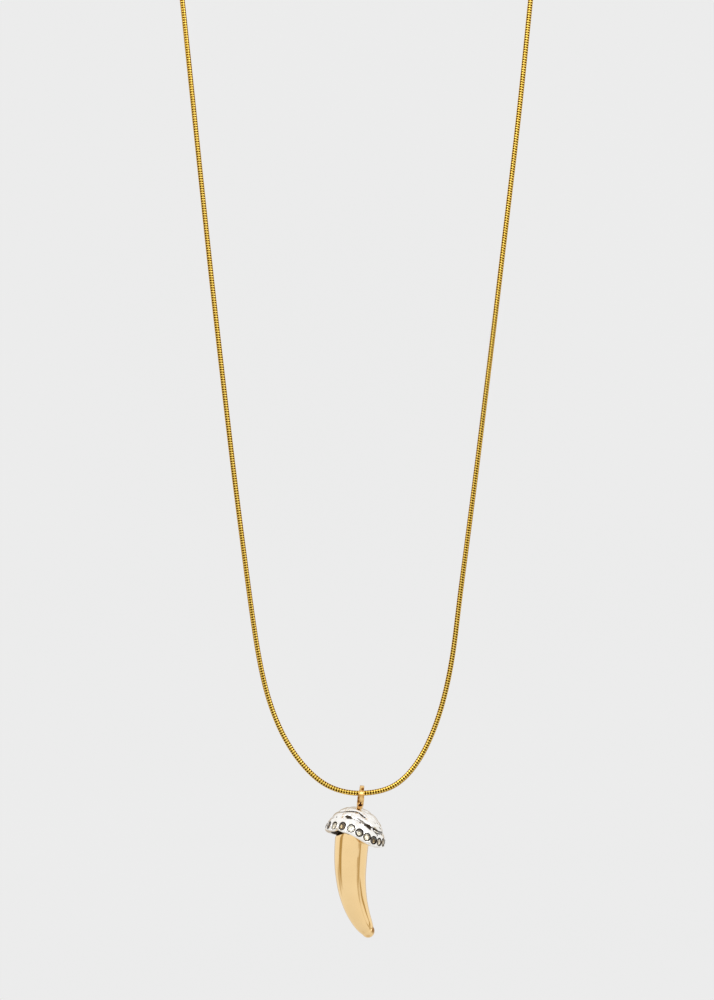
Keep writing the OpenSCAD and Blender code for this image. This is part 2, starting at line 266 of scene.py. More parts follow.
def clasp_profile():
    """Half of the profile as (along, radius), from the socket over the end to the middle; and its grip."""
    r, half = clasp_d / 2, clasp_len / 2
    bore = chain_d / 2 + seat_gap
    neck = bore + 0.25
    socket = half - route[0][0] + seat_gap
    shoulder = half - clasp_shoulder
    end = [
        (half - socket, bore), (half - 0.02, bore), (half, neck - 0.05), (half - 0.03, neck + 0.02),
        (half - 0.35, neck + 0.16), (half - 0.7, 0.70 * r), (half - 1.0, 0.80 * r),
        (half - 1.35, 0.875 * r), (half - 1.8, 0.94 * r), (half - 2.3, 0.985 * r),
    ]
    collar = [
        (shoulder, r), (shoulder - 0.06, r), (shoulder - 0.12, r - collar_deep),
        (shoulder - 0.28, r - collar_deep), (shoulder - 0.34, r - 0.01),
    ]
    grip = [(x, r - 0.01) for x in np.linspace(shoulder - 0.4, 0.55, 22)]
    parting = [
        (0.5, r - 0.02), (0.44, r - parting_deep), (0.20, r - parting_deep), (0.14, r - 0.01),
        (0.05, r), (0.02, r - 0.03), (0.0, r - 0.09),
    ]
    return end + collar + grip + parting, grip


def build_clasp():
    half_profile, grip = clasp_profile()
    profile = half_profile + [(-x, radius) for x, radius in reversed(half_profile[:-1])]
    grip_from, grip_to = grip[0][0], grip[-1][0]
    angle = 2 * np.pi * np.arange(clasp_sides) / clasp_sides
    flutes = knurl_deep * (0.5 - 0.5 * np.cos(knurl_count * angle))
    points = np.zeros((len(profile), clasp_sides, 3))
    for row, (x, radius) in zip(points, profile):
        cut = flutes if grip_to < abs(x) < grip_from else 0.0
        row[:, 0] = x
        row[:, 1] = (radius - cut) * np.sin(angle)
        row[:, 2] = clasp_d / 2 + (radius - cut) * np.cos(angle)
    return mesh_piece("barrel_clasp", points.reshape(-1, 3), closed_faces(len(profile), clasp_sides))


clasp = build_clasp()

# cap
# Its own frame has its foot at 0, its axis up, azimuth 0 at the front and 90 at the right. A place up
# the dome is given by its rise, from 0 at the foot to 1 at the crown.
cap_r = cap_d / 2
mouth_r = cap_r - cap_wall
bail_seat = np.array([-0.042 * cap_r, -0.064 * cap_r])
crown_z = cap_h * math.sqrt(1 - (np.linalg.norm(bail_seat) / cap_r) ** 2)


def shifted(z):
    """How far the cap's axis is shifted sideways at a height."""
    return -crown_shift * z / cap_h


def cap_turn(v):
    """Turns a direction or offset of the cap's own frame as the cap leans."""
    return turn_y(turn_x(np.asarray(v, float), -cap_back), cap_lean)


cap_origin = foot_point - cap_turn([bail_seat[0] + shifted(crown_z), bail_seat[1], crown_z + seat_gap])
horn_root = cap_origin + cap_turn([-0.213 * cap_r, 0, 0.598 * cap_h])


def rim_lift(azimuth, rise=0.0):
    """How far the surface is lifted, in mm: most at the rim, at its arch and at its turned-up end."""
    arch = rim_arch * gauss(around(azimuth - arch_at) / arch_w)
    return (1 - rise) * (arch + rim_turn_up * gauss(around(azimuth - turn_up_at) / turn_up_w))


# The rim is cut back at its two ends and at one notch, less and less up to the height trim_up. An end's
# azimuths: where the cut begins, is full, begins to fade and is gone.
trim_deep, trim_up = 0.42, 1.1
trim_spans = [(-120, -75, -48, -26), (32, 55, 95, 130)]
notch_deep, notch_at, notch_w = 0.20, -43, 12


def trim(azimuth):
    """How far the rim's lower edge is cut back, in mm."""
    a = around(azimuth)
    out = notch_deep * gauss((a - notch_at) / notch_w)
    for start, full, fading, gone in trim_spans:
        out = out + trim_deep * smooth(a, start, full) * (1 - smooth(a, fading, gone))
    return out


def dome_r(rise):
    return cap_r * cosd(90 * rise)


def dome_z(rise):
    return cap_h * sind(90 * rise)


def dome_out(rise):
    """The dome's outward normal, as its parts away from the axis and up."""
    a, b = cap_h * cosd(90 * rise), cap_r * sind(90 * rise)
    size = np.hypot(a, b)
    return a / size, b / size


rng = random.Random(7)
wobble_waves = [(rng.uniform(0, 360), rng.uniform(0.4, 1.0)) for _ in range(24)]


def wobble(azimuth, rise, seed):
    """A smooth, repeatable unevenness between about -1 and 1."""
    total = 0
    for k in range(6):
        phase, force = wobble_waves[(seed * 5 + k) % len(wobble_waves)]
        total = total + force * np.sin(np.radians((k + 2 + seed % 3) * azimuth + phase)
                                       + (4 + 3 * k) * rise
                                       + 1.7 * np.sin(np.radians(azimuth * (k + 1)) + phase))
    return total / 4


# worked grooves, each by azimuth: (azimuth, rise, tarnish, width in rise)
groove_deep = 0.24
groove_table = [
    [(-180, 0.33, 0.5, 0.04), (-100, 0.33, 0.4, 0.04), (-60, 0.335, 0.10, 0.034), (-38, 0.37, 0.10, 0.034),
     (-33, 0.382, 1.0, 0.052), (-24, 0.392, 1.0, 0.048), (-19, 0.37, 0.58, 0.024), (-5, 0.36, 0.56, 0.024),
     (5, 0.375, 0.60, 0.024), (12, 0.375, 0.65, 0.030), (17, 0.378, 1.0, 0.046), (30, 0.375, 1.0, 0.054),
     (36, 0.372, 0.6, 0.034), (44, 0.368, 0.9, 0.042), (60, 0.33, 0.7, 0.036), (90, 0.32, 0.5, 0.04),
     (180, 0.33, 0.5, 0.04)],
    [(-180, 0.52, 0.5, 0.04), (-100, 0.50, 0.4, 0.036), (-70, 0.49, 0.45, 0.032), (-54, 0.503, 0.58, 0.038),
     (-36, 0.545, 0.78, 0.046), (-18, 0.575, 0.78, 0.045), (-6, 0.600, 0.60, 0.036), (-3, 0.590, 0.95, 0.036),
     (5, 0.562, 1.0, 0.048), (16, 0.548, 0.95, 0.040), (20, 0.545, 0.15, 0.030), (60, 0.54, 0.05, 0.03),
     (100, 0.55, 0.3, 0.036), (180, 0.52, 0.5, 0.04)],
    [(-180, 0.74, 0.4, 0.03), (-90, 0.76, 0.1, 0.03), (0, 0.78, 0.0, 0.03), (60, 0.76, 0.1, 0.03),
     (180, 0.74, 0.4, 0.03)],
    [(-9, 0.415, 0.0, 0.016), (-4, 0.412, 0.75, 0.020), (8, 0.408, 0.75, 0.020), (18, 0.395, 0.5, 0.018),
     (22, 0.39, 0.0, 0.016)],
    [(34, 0.30, 0.0, 0.018), (42, 0.315, 0.7, 0.022), (52, 0.29, 0.8, 0.024), (66, 0.30, 0.6, 0.022),
     (80, 0.29, 0.5, 0.02), (96, 0.3, 0.0, 0.02)],
]
# cast pits: azimuth, rise, radius in mm, depth in mm
pits = [
    (-27, 0.362, 0.42, 0.30), (-20, 0.352, 0.26, 0.22), (3, 0.345, 0.22, 0.12), (15, 0.345, 0.24, 0.14),
    (22, 0.350, 0.26, 0.20), (29, 0.342, 0.42, 0.32), (41, 0.345, 0.30, 0.28), (46, 0.300, 0.30, 0.26),
    (51, 0.262, 0.28, 0.26), (60, 0.285, 0.24, 0.18), (70, 0.290, 0.26, 0.20), (77, 0.292, 0.30, 0.26),
    (70, 0.515, 0.26, 0.22), (86, 0.410, 0.34, 0.26), (-60, 0.34, 0.22, 0.12), (-75, 0.31, 0.26, 0.16),
    (68, 0.420, 0.26, 0.20), (73, 0.395, 0.20, 0.16), (52, 0.500, 0.16, 0.10), (48, 0.225, 0.12, 0.08),
    (125, 0.33, 0.36, 0.26), (150, 0.36, 0.30, 0.22), (172, 0.34, 0.38, 0.26), (200, 0.31, 0.30, 0.22),
    (228, 0.35, 0.34, 0.24), (250, 0.33, 0.28, 0.20), (140, 0.52, 0.30, 0.20), (185, 0.55, 0.30, 0.20),
    (235, 0.50, 0.30, 0.20),
]
pit_stretch = 1.25
dome_mean_r = 7.3

# Stones and their seats. The stones are evenly spaced from the first, then moved a little together and
# apart, twice round the cap.
stone_rise = math.degrees(math.asin(stone_up / cap_h)) / 90
stone_first, stone_uneven = 2.5, 2.5
even = stone_first + np.arange(stone_count) * 360 / stone_count
stone_azimuth = even + stone_uneven * cosd(2 * (even + 10))
seat_r = stone_d / 2 + 0.13
seat_deep, seat_lip = 0.42, 0.07
# a seat cuts the surface only within this height of its own middle, and so not across the cap
seat_reach = 2.5
# the ring of oxide and painted shadow begins between these radii, and ends near the seat's edge
bare_r, tarnish_and_shadow_r = 0.50, 0.62
# the ring's painted shadow makes it wider towards the upper right, by these parts of right and up
ring_right, ring_up = 0.75, 0.66


def stone_frame(i):
    """Centre and outward normal of a stone's seat, in the cap's own frame."""
    azimuth = stone_azimuth[i]
    out_r, out_z = dome_out(stone_rise)
    radial = np.array([sind(azimuth), -cosd(azimuth), 0])
    centre = np.array([shifted(stone_up), 0, 0]) + dome_r(stone_rise) * radial
    centre[2] = stone_up + rim_lift(azimuth, stone_rise)
    return centre, out_r * radial + np.array([0, 0, out_z])


def seat_ways(out):
    """The ways to the right and up across a stone, as seen from the side that it faces."""
    side = np.cross([0, 0, 1.0], out)
    side /= np.linalg.norm(side)
    return side, np.cross(out, side)


def worked_surface(azimuth, rise):
    """Depth in mm and tarnish of the grooves, the pits and the cast unevenness."""
    cut = np.zeros_like(azimuth)
    tarnish_and_shade = np.zeros_like(azimuth)
    for n, table in enumerate(groove_table):
        at_azimuth, at_rise, at_dark, at_width = zip(*table)
        middle = np.interp(around(azimuth), at_azimuth, at_rise) + 0.004 * wobble(azimuth, rise * 0, n)
        force = np.interp(around(azimuth), at_azimuth, at_dark)
        width = np.interp(around(azimuth), at_azimuth, at_width)
        cut += groove_deep * (0.35 + 0.65 * force) * gauss((rise - middle) / (1.1 * width)) * (force > 0)
        ragged = 0.2 * width * wobble(azimuth * 5, rise * 0, n + 4)
        tarnish_and_shade = np.maximum(tarnish_and_shade, gauss((rise - middle + ragged) / (0.72 * width)) * force)
    for pit_azimuth, pit_rise, pit_r, pit_deep in pits:
        arc = np.radians(around(azimuth - pit_azimuth)) * dome_r(pit_rise)
        up = np.radians((rise - pit_rise) * 90) * dome_mean_r
        pit = gauss(np.hypot(arc / pit_stretch, up) / pit_r)
        cut += pit_deep * pit
        tarnish_and_shade = np.maximum(tarnish_and_shade, smooth(pit, 0.35, 0.8))
    # the unevenness begins above the stones
    uneven = 0.05 * wobble(azimuth, rise, 11) + 0.03 * wobble(azimuth * 2, rise * 2, 13)
    return cut + smooth(rise, 0.30, 0.42) * uneven, tarnish_and_shade


def add_seats(base, cut, tarnish_and_shade):
    """The same with the stones' seats: a recess darkened by oxide and painted shadow, with a low bright lip.
    """
    for i in range(stone_count):
        centre, out = stone_frame(i)
        side, up = seat_ways(out)
        offset = base - centre
        height = offset @ out
        near = np.abs(height) < seat_reach
        far = np.linalg.norm(offset - height[..., None] * out, axis=-1)
        inside = near * (1 - smooth(far, seat_r - 0.11, seat_r + 0.03))
        lip = near * gauss((far - seat_r - 0.10) / 0.09)
        cut = cut * (1 - inside) + seat_deep * inside - seat_lip * lip
        # painted shadow: the dark ring reaches further towards the upper right of each seat
        shade = offset @ (side * ring_right + up * ring_up)
        edge_r = seat_r + 0.04 + 0.08 * np.clip(shade / seat_r, -1, 1)
        ring = smooth(far, bare_r, tarnish_and_shadow_r) * (1 - smooth(far, edge_r - 0.05, edge_r + 0.05))
        tarnish_and_shade = np.maximum(tarnish_and_shade * (1 - inside), near * ring)
    return cut, tarnish_and_shade


def cap_outside(azimuth):
    """Rows of points up the outside of the dome, and their tarnish."""
    # the rows are closer together round the stones
    rises = np.concatenate([
        np.linspace(0.035, 0.34, 56), np.linspace(0.347, 0.70, 46), np.linspace(0.715, 0.995, 16),
    ])
    a, rise = np.meshgrid(azimuth, rises)
    z = dome_z(rise)
    z_cut = z + trim(a) * (1 - smooth(z, 0.0, trim_up))
    base = np.stack([
        dome_r(rise) * sind(a) + shifted(z), -dome_r(rise) * cosd(a), z_cut + rim_lift(a, rise),
    ], -1)
    cut, tarnish_and_shade = add_seats(base, *worked_surface(a, rise))
    out_r, out_z = dome_out(rise)
    return base - cut[..., None] * np.stack([out_r * sind(a), -out_r * cosd(a), out_z], -1), tarnish_and_shade


mouth_top = mouth_deep + 0.1
# the rows from the middle of the mouth that carry painted shade all over
mouth_rows = 7
cap_sides = 540


def cap_inside(azimuth):
    """Rows of points from the middle of the mouth out to the rim's lower edge, and the painted shade inside
    the mouth.
    """
    # radius, height, and how far the row follows the rim's lift
    low = [
        (cap_r - 0.05, 0.19, 1), (cap_r - 0.14, 0.09, 1), (cap_r - 0.28, 0.02, 1), (cap_r - 0.45, 0.0, 1),
        (mouth_r + 0.30, 0.0, 1), (mouth_r + 0.14, 0.03, 1), (mouth_r + 0.03, 0.12, 1),
        (mouth_r - 0.06, 0.3, 1), (mouth_r - 0.35, 1.15, 0.6), (mouth_r - 0.55, 1.8, 0.3),
        (mouth_r - 0.70, 2.2, 0.1), (mouth_r - 0.95, mouth_deep + 0.02, 0),
        (3.4, mouth_top, 0), (1.5, mouth_top, 0),
    ]
    rows = []
    for radius, height, follow in reversed(low):
        z = height + follow * rim_lift(azimuth) + trim(azimuth) * max(0.0, 1 - height / trim_up)
        rows.append(np.stack([radius * sind(azimuth) + shifted(z), -radius * cosd(azimuth), z], -1))
    # the mouth carries painted shade, less so from the front to the right, where the horn's shoulder meets
    # the rim
    a = around(azimuth)
    mouth_shade = 0.95 - 0.55 * smooth(a, -10, 10) * (1 - smooth(a, 90, 110))
    tarnish_and_shade = np.zeros((len(low), len(azimuth)))
    tarnish_and_shade[:mouth_rows] = mouth_shade
    tarnish_and_shade[mouth_rows] = 0.6 * mouth_shade
    return np.stack(rows), tarnish_and_shade


def build_cap():
    azimuth = 360 * np.arange(cap_sides) / cap_sides
    inside, inside_shade = cap_inside(azimuth)
    outside, outside_tarnish_and_shade = cap_outside(azimuth)
    grid = np.concatenate([inside, outside])
    top = [shifted(cap_h), 0, cap_h]
    bottom = [0, 0, mouth_top]
    points = cap_origin + cap_turn(np.vstack([grid.reshape(-1, 3), top, bottom]))
    top_point, bottom_point = len(points) - 2, len(points) - 1
    last = (len(grid) - 1) * cap_sides
    faces = grid_faces(len(grid), cap_sides)
    for j in range(cap_sides):
        faces.append((last + j, last + (j + 1) % cap_sides, top_point))
    for j in range(cap_sides):
        faces.append(((j + 1) % cap_sides, j, bottom_point))
    ob = mesh_piece("silver_cap", points, faces)
    # the inside rows and the mouth's bottom point carry painted shade; the outside carries oxide and, round
    # the seats, painted shadow
    paint(ob, "oxide_and_shade", np.concatenate([inside_shade.ravel(), outside_tarnish_and_shade.ravel(), [0, 0.85]]))
    return ob


cap = build_cap()

# horn
horn_sides = 96
horn_run = horn_len - tip_r
straight = 0.116 * horn_len
bend_power = 1.77
# the rows stand closer together at the tip, from this share of the run on
tip_share = 0.985
body_rows, tip_rows = 200, 25
# (share of the run, share of the full width)
horn_table = [
    (0, 0.6), (0.084, 0.62), (0.102, 0.73), (0.118, 0.88), (0.14, 0.967), (0.17, 1.005),
    (0.31, 0.975), (0.406, 0.942), (0.511, 0.884), (0.631, 0.817), (0.731, 0.742),
    (0.82, 0.665), (0.908, 0.566), (0.956, 0.492), (1, 2 * tip_r / horn_d),
]


def horn_width(share):
    """The width at a share of the run, on a smooth curve through horn_table."""
    t = horn_table
    i = 0
    while i + 2 < len(t) and share > t[i + 1][0]:
        i += 1

    def slope(k):
        a, b = t[max(k - 1, 0)], t[min(k + 1, len(t) - 1)]
        return (b[1] - a[1]) / (b[0] - a[0])

    gap = t[i + 1][0] - t[i][0]
    q = (share - t[i][0]) / gap
    return (t[i][1] * (2 * q**3 - 3 * q * q + 1) + t[i + 1][1] * (3 * q * q - 2 * q**3)
            + gap * slope(i) * (q**3 - 2 * q * q + q) + gap * slope(i + 1) * (q**3 - q * q))


def horn_r(s):
    """Radius at a distance from the root, with a round tip."""
    if s <= horn_run:
        return horn_d / 2 * horn_width(s / horn_run)
    return math.sqrt(max(tip_r**2 - (s - horn_run) ** 2, 0))


def horn_angle(s):
    """Lean of the middle line, in degrees, at a distance from the root."""
    return horn_lean + horn_bend * (max(s - straight, 0) / (horn_len - straight)) ** bend_power


def horn_line():
    """Distances along the horn's middle line, and its x and z at each, from its root."""
    tip_from = tip_share * horn_run
    body = np.linspace(0, tip_from, body_rows)
    closer = np.sin(np.linspace(0, 1, tip_rows + 1)[1:] * math.pi / 2)
    tip = tip_from + (horn_len - tip_from) * closer
    run = np.concatenate([body, tip])
    x = z = 0.0
    line = [(x, z)]
    for s0, s1 in zip(run, run[1:]):
        a = horn_angle((s1 + s0) / 2)
        x += (s1 - s0) * sind(a)
        z -= (s1 - s0) * cosd(a)
        line.append((x, z))
    return run, line


# the shoulder stands up at the front right, where it meets the rim, and sinks a little at the front left
shoulder_up = 1.1
shoulder_down = 0.30


def shoulder_rise(s, angle):
    """How far the surface is moved up along the horn at s mm from the root, in mm."""
    up = shoulder_up * smooth(s, 0.0, 2.4) * (1 - smooth(s, 3.6, 6.5))
    down = shoulder_down * smooth(s, 1.9, 2.4) * (1 - smooth(s, 3.6, 6.0))
    return (up * smooth(np.cos(angle + 0.9), -0.35, 0.45)
            - down * smooth(np.cos(angle + 2.6), 0.0, 0.8))


def build_horn():
    run, line = horn_line()
    angle = 2 * np.pi * np.arange(horn_sides) / horn_sides
    rows = []
    for s, (x, z) in zip(run, line):
        a, r = horn_angle(s), horn_r(s)
        flat = 1 - (1 - horn_flat) * min(s / (0.3 * horn_len), 1)
        out = r * np.cos(angle)
        up = shoulder_rise(s, angle)
        rows.append(np.stack([
            x + out * cosd(a) - up * sind(a), r * flat * np.sin(angle), z + out * sind(a) + up * cosd(a),
        ], -1))
    points = horn_root + turn_x(np.stack(rows).reshape(-1, 3), horn_back)
    faces = [tuple(reversed(f)) for f in closed_faces(len(rows), horn_sides)]
    return mesh_piece("polished_horn", points, faces)


horn = build_horn()


# helpers for materials
def new_material(name):
    material = bpy.data.materials.new(name)
    material.use_nodes = True
    tree = material.node_tree
    return material, tree, tree.nodes["Principled BSDF"]


def give(ob, material):
    ob.data.materials.clear()
    ob.data.materials.append(material)


def feed(tree, socket, value):
    """Joins another node's output to a socket, or sets the socket to a plain value."""
    if hasattr(value, "is_output"):
        tree.links.new(value, socket)
    else:
        socket.default_value = value


def math_node(tree, operation, *values):
    node = tree.nodes.new("ShaderNodeMath")
    node.operation = operation
    for socket, value in zip(node.inputs, values):
        feed(tree, socket, value)
    return node.outputs[0]


def vector_node(tree, operation, *values):
    node = tree.nodes.new("ShaderNodeVectorMath")
    node.operation = operation
    for socket, value in zip(node.inputs, values):
        feed(tree, socket, value)
    return node


def clamped(tree, value):
    """The value held between 0 and 1."""
    return math_node(tree, "MINIMUM", math_node(tree, "MAXIMUM", value, 0.0), 1.0)


def painted(tree, name):
    """The number that paint() gave to each vertex."""
    attribute = tree.nodes.new("ShaderNodeAttribute")
    attribute.attribute_name = name
    return attribute.outputs["Fac"]


def noise(tree, scale, detail, rough=0.55, stretch=None):
    place = tree.nodes.new("ShaderNodeTexCoord").outputs["Object"]
    if stretch:
        mapping = tree.nodes.new("ShaderNodeMapping")
        mapping.inputs["Scale"].default_value = stretch
        tree.links.new(place, mapping.inputs["Vector"])
        place = mapping.outputs["Vector"]
    texture = tree.nodes.new("ShaderNodeTexNoise")
    texture.inputs["Scale"].default_value = scale
    texture.inputs["Detail"].default_value = detail
    texture.inputs["Roughness"].default_value = rough
    tree.links.new(place, texture.inputs["Vector"])
    return texture.outputs["Fac"]


def ramp(tree, value, stops):
    """A colour that follows a value through stops of (value, colour or grey)."""
    node = tree.nodes.new("ShaderNodeValToRGB")
    elements = node.color_ramp.elements
    while len(elements) < len(stops):
        elements.new(0.5)
    for element, (position, colour) in zip(elements, stops):
        element.position = position
        element.color = (*colour, 1) if isinstance(colour, tuple) else (colour, colour, colour, 1)
    tree.links.new(value, node.inputs["Fac"])
    return node.outputs["Color"]


def mix_colour(tree, factor, a, b, mode="MIX"):
    node = tree.nodes.new("ShaderNodeMix")
    node.data_type = "RGBA"
    node.blend_type = mode
    factor_socket = [s for s in node.inputs if s.name == "Factor" and s.type == "VALUE"][0]
    feed(tree, factor_socket, factor)
    colour_sockets = [s for s in node.inputs if s.type == "RGBA"]
    for socket, colour in zip(colour_sockets, (a, b)):
        feed(tree, socket, (*colour, 1) if isinstance(colour, tuple) else colour)
    return [s for s in node.outputs if s.type == "RGBA"][0]


def bump(tree, height, strength, distance_mm):
    node = tree.nodes.new("ShaderNodeBump")
    node.inputs["Strength"].default_value = strength
    node.inputs["Distance"].default_value = distance_mm * MM
    tree.links.new(height, node.inputs["Height"])
    return node.outputs["Normal"]


def blob(tree, centre_mm, radii_mm, soft=0.5):
    """1 inside an ellipsoid given in millimetres, falling to 0 past its edge."""
    place = tree.nodes.new("ShaderNodeTexCoord").outputs["Object"]
    offset = vector_node(tree, "SUBTRACT", place, [v * MM for v in centre_mm]).outputs["Vector"]
    shares = vector_node(tree, "DIVIDE", offset, [v * MM for v in radii_mm]).outputs["Vector"]
    size = vector_node(tree, "LENGTH", shares).outputs["Value"]
    fall = tree.nodes.new("ShaderNodeMapRange")
    fall.interpolation_type = "SMOOTHSTEP"
    tree.links.new(size, fall.inputs["Value"])
    fall.inputs["From Min"].default_value = 1 - soft
    fall.inputs["From Max"].default_value = 1 + soft
    fall.inputs["To Min"].default_value = 1.0
    fall.inputs["To Max"].default_value = 0.0
    return fall.outputs["Result"]


def finish_metal(tree, shader, colour, rough):
    """Joins a metal's colour and roughness to its shader."""
    tree.links.new(colour, shader.inputs["Base Color"])
    tree.links.new(rough, shader.inputs["Roughness"])
    shader.inputs["Metallic"].default_value = 1.0


# a painted dark reflection on the right edge near the horn's tip: its place from the tip, its radii and its
# colour
tip_reflection_from_tip = (0.221, -0.197, 1.494)
tip_reflection_radii = (0.30, 1.6, 0.75)
tip_reflection_colour = (0.34, 0.16, 0.04)


def horn_look():
    """Polished pale gold, with a painted dark reflection near its tip."""
    material, tree, shader = new_material("pale_gold_polish")
    tip_x, tip_z = horn_line()[1][-1]
    tip = horn_root + turn_x(np.array([tip_x, 0, tip_z]), horn_back)
    # painted reflection: a brown streak where the edge near the tip would mirror a dark part of the room
    tip_reflection = blob(tree, tip + tip_reflection_from_tip, tip_reflection_radii)
    gold = ramp(tree, noise(tree, 160, 3), [(0.3, (0.93, 0.665, 0.335)), (0.7, (0.965, 0.705, 0.37))])
    rough = ramp(tree, noise(tree, 900, 4), [(0.3, 0.06), (0.7, 0.10)])
    finish_metal(tree, shader, mix_colour(tree, tip_reflection, gold, tip_reflection_colour), rough)
    brushed = noise(tree, 420, 2, stretch=(1, 1, 0.3))
    tree.links.new(bump(tree, brushed, 0.10, 0.04), shader.inputs["Normal"])
    return material


def chain_look():
    """Yellow gold with painted shade in its joints and slots, which follow the numbers that build_chain()
    painted.
    """
    material, tree, shader = new_material("chain_yellow_gold")
    ring = math_node(tree, "MULTIPLY", painted(tree, "turns"), 2 * math.pi)
    joint = math_node(tree, "MULTIPLY_ADD", math_node(tree, "COSINE", ring), 0.5, 0.5)
    angle = math_node(tree, "ARCTAN2", painted(tree, "side"), painted(tree, "front"))
    turned = math_node(tree, "MULTIPLY", math_node(tree, "ADD", angle, painted(tree, "turn")), slot_rows)
    slot = math_node(tree, "MULTIPLY_ADD", math_node(tree, "COSINE", turned), 0.5, 0.5)
    # painted shade: the joints between the rings, and the slots most of all, darken towards black
    dark = math_node(tree, "MULTIPLY", joint, math_node(tree, "MULTIPLY_ADD", slot, 0.82, 0.18))
    gold = ramp(tree, noise(tree, 260, 3), [(0.3, (0.82, 0.62, 0.16)), (0.7, (0.88, 0.68, 0.20))])
    shade = ramp(tree, dark, [
        (0.03, (1, 1, 1)), (0.13, (0.76, 0.60, 0.20)), (0.30, (0.35, 0.21, 0.02)),
        (0.60, (0.035, 0.018, 0.004)),
    ])
    rough = ramp(tree, noise(tree, 2200, 2), [(0.3, 0.20), (0.7, 0.30)])
    finish_metal(tree, shader, mix_colour(tree, 1.0, gold, shade, "MULTIPLY"), rough)
    shader.inputs["Specular Tint"].default_value = (0.80, 0.36, 0.01, 1)
    return material


def clasp_look():
    """The chain's gold, polished."""
    material, tree, shader = new_material("clasp_yellow_gold")
    gold = ramp(tree, noise(tree, 300, 3), [(0.3, (0.90, 0.63, 0.20)), (0.7, (0.95, 0.71, 0.27))])
    grain = noise(tree, 1500, 4)
    finish_metal(tree, shader, gold, ramp(tree, grain, [(0.3, 0.14), (0.7, 0.24)]))
    tree.links.new(bump(tree, grain, 0.15, 0.03), shader.inputs["Normal"])
    return material


# brown marks on the bail, and at the second and third painted shade either side of its front highlight: place
# from its ring's centre, radii, colour
bail_marks_and_shade = [
    ((0.22, -1.71, 1.78), (0.36, 0.60, 0.34), (0.22, 0.07, 0.005)),
    ((-0.45, -2.4, 0.72), (0.28, 1.0, 0.75), (0.46, 0.27, 0.09)),
    ((0.62, -2.4, 0.60), (0.22, 1.0, 0.60), (0.58, 0.34, 0.10)),
    ((-0.56, -2.2, -0.25), (0.26, 1.2, 0.38), (0.30, 0.11, 0.008)),
    ((-0.54, -2.2, -1.05), (0.34, 1.2, 0.44), (0.28, 0.10, 0.008)),
    ((-0.62, 2.1, -0.5), (0.25, 0.9, 0.9), (0.36, 0.14, 0.012)),
]
# the split is a triangle, wide at its foot, coloured near black as oxide and painted shade
split_parts = [((0.05, 0, -1.86), (0.62, 2.6, 0.40)), ((0.05, 0, -1.42), (0.32, 2.6, 0.50))]
split_oxide_and_shade = (0.05, 0.012, 0.004)
bail_edge_r = 0.14


def at_bail(place):
    return ring_centre + turn_y(np.array(place, float), bail_lean)


def bail_look():
    """Rose gold, with oxide and painted shade in the split, a few brown marks, painted shade beside its front
    highlight, and softened edges.
    """
    material, tree, shader = new_material("bail_rose_gold")
    colour = ramp(tree, noise(tree, 700, 3), [(0.35, (0.56, 0.29, 0.07)), (0.62, (0.94, 0.65, 0.29))])
    # the second and third of these are painted shade that narrows the front highlight
    for place, radii, mark_and_shade_colour in bail_marks_and_shade:
        colour = mix_colour(tree, blob(tree, at_bail(place), radii), colour, mark_and_shade_colour)
    # painted shade with oxide: the split is coloured near black
    for place, radii in split_parts:
        colour = mix_colour(tree, blob(tree, at_bail(place), radii, 0.12), colour, split_oxide_and_shade)
    finish_metal(tree, shader, colour, ramp(tree, noise(tree, 1800, 3), [(0.3, 0.10), (0.7, 0.22)]))
    edges = tree.nodes.new("ShaderNodeBevel")
    edges.inputs["Radius"].default_value = bail_edge_r * MM
    tree.links.new(edges.outputs["Normal"], shader.inputs["Normal"])
    return material


def cap_look():
    """Bright silver, oxidised in its grooves and seats, with painted shade in its mouth and painted shadow
    round its seats.
    """
    material, tree, shader = new_material("cap_oxidised_silver")
    silver = ramp(tree, noise(tree, 700, 4), [
        (0.30, (0.88, 0.84, 0.76)), (0.50, (0.97, 0.96, 0.94)), (0.70, (0.87, 0.82, 0.76)),
    ])
    grain = noise(tree, 2600, 5, 0.65)
    ragged = math_node(tree, "MULTIPLY_ADD", grain, 0.5, -0.25)
    tarnish_and_shade = math_node(tree, "ADD", painted(tree, "oxide_and_shade"), ragged)
    # the brown is oxide in the grooves and pits, and painted shade in the mouth and round the seats
    edge = ramp(tree, tarnish_and_shade, [(0.30, 0), (0.62, 1)])
    brown = ramp(tree, grain, [(0.35, (0.014, 0.011, 0.008)), (0.65, (0.075, 0.055, 0.038))])
    colour = mix_colour(tree, edge, silver, brown)
    finish_metal(tree, shader, colour, ramp(tree, edge, [(0.0, 0.16), (1.0, 0.5)]))
    cast = noise(tree, 1100, 4, 0.6)
    tree.links.new(bump(tree, cast, 0.55, 0.09), shader.inputs["Normal"])
    return material


stone_tints = [
    (0.96, 0.92, 0.74), (0.95, 0.88, 0.70), (0.52, 0.38, 0.20), (0.90, 0.80, 0.62), (0.86, 0.74, 0.54),
    (0.80, 0.69, 0.50), (0.66, 0.52, 0.33), (0.84, 0.74, 0.55), (0.75, 0.62, 0.43), (0.86, 0.78, 0.60),
    (0.70, 0.57, 0.38), (0.80, 0.70, 0.50), (0.78, 0.66, 0.46), (0.84, 0.75, 0.56), (0.72, 0.60, 0.40),
    (0.70, 0.56, 0.38), (0.50, 0.36, 0.20), (0.94, 0.86, 0.70), (0.66, 0.52, 0.28), (0.98, 0.94, 0.82),
]
